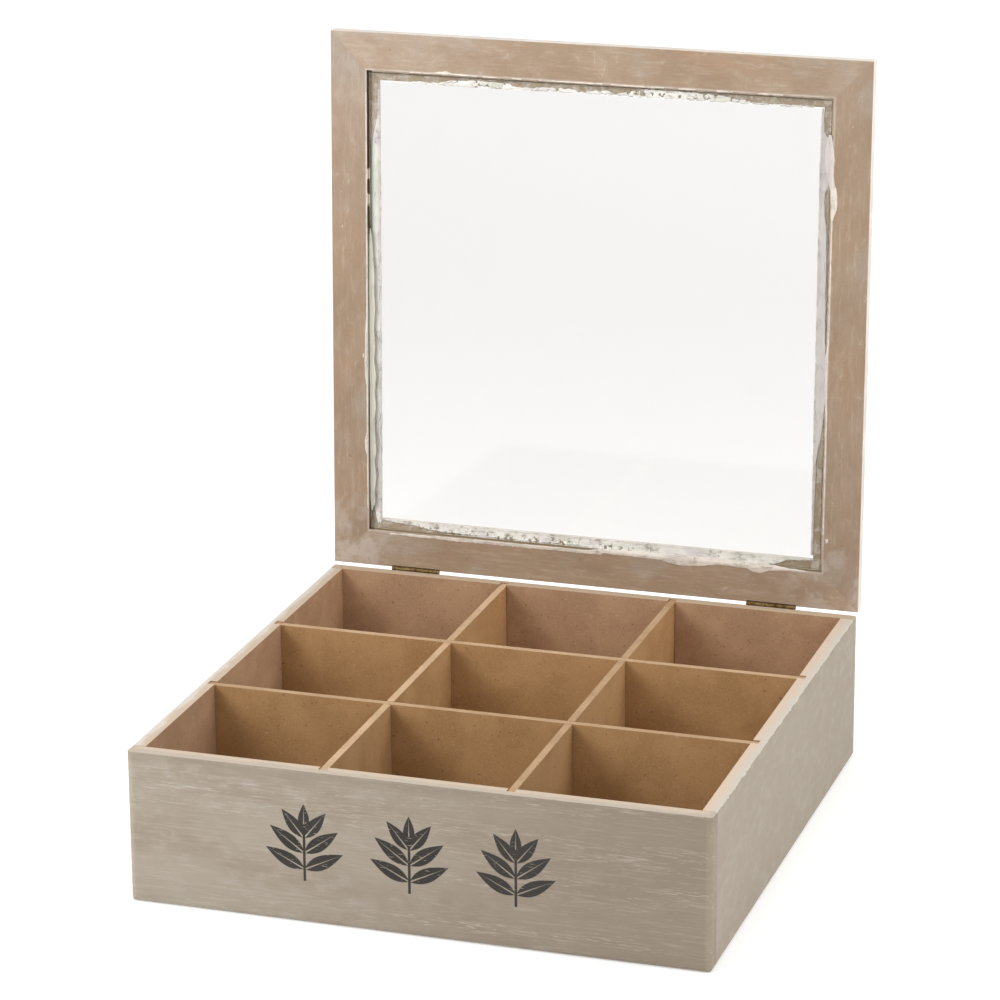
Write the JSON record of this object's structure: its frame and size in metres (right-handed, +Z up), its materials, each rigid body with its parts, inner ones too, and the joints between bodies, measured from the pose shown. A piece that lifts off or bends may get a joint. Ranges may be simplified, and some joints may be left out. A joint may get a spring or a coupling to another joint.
{
  "type": "tea bag organizer box",
  "caption": "Square tea bag box with a grid of open compartments and a hinged lid with a glass window in a mitred frame.",
  "frame": {"origin": "centre of the underside, on the surface that the box stands on", "axes": "+X to the right seen from the front, +Y from the front to the hinged back, +Z up"},
  "size_m": [0.24, 0.2541, 0.3052],
  "materials": {
    "limewashed_board": "grey-beige limewash brushed along the grain, matt",
    "divider_board": "raw fibreboard faces, paler sanded edges, matt",
    "base_board": "raw fibreboard, matt",
    "glass": "clear polished float glass",
    "sealant": "off-white sealant smoothed by hand",
    "hinge_brass": "antique brass plating, dulled",
    "hinge_fasteners": "antique brass plating on steel"
  },
  "bodies": {
    "box": {"front_panel": "limewashed_board", "back_panel": "limewashed_board", "left_panel": "limewashed_board", "right_panel": "limewashed_board", "base_panel": "base_board", "left_divider": "divider_board", "right_divider": "divider_board", "front_cross_divider": "divider_board", "back_cross_divider": "divider_board", "left_hinge_box_leaf": "hinge_brass", "left_hinge_pin": "hinge_fasteners", "left_hinge_box_screws": "hinge_fasteners", "right_hinge_box_leaf": "hinge_brass", "right_hinge_pin": "hinge_fasteners", "right_hinge_box_screws": "hinge_fasteners"},
    "lid": {"lid_front_rail": "limewashed_board", "lid_back_rail": "limewashed_board", "lid_left_rail": "limewashed_board", "lid_right_rail": "limewashed_board", "glass_pane": "glass", "glass_sealant": "sealant", "left_hinge_lid_leaf": "hinge_brass", "left_hinge_lid_screws": "hinge_fasteners", "right_hinge_lid_leaf": "hinge_brass", "right_hinge_lid_screws": "hinge_fasteners"}
  },
  "joints": [
    {"name": "lid_hinge", "type": "hinge", "parent": "box", "child": "lid", "pos_m": [0, 0.12059, 0.0647], "axis": [1, 0, 0], "range_deg": [0, 91.75]}
  ]
}
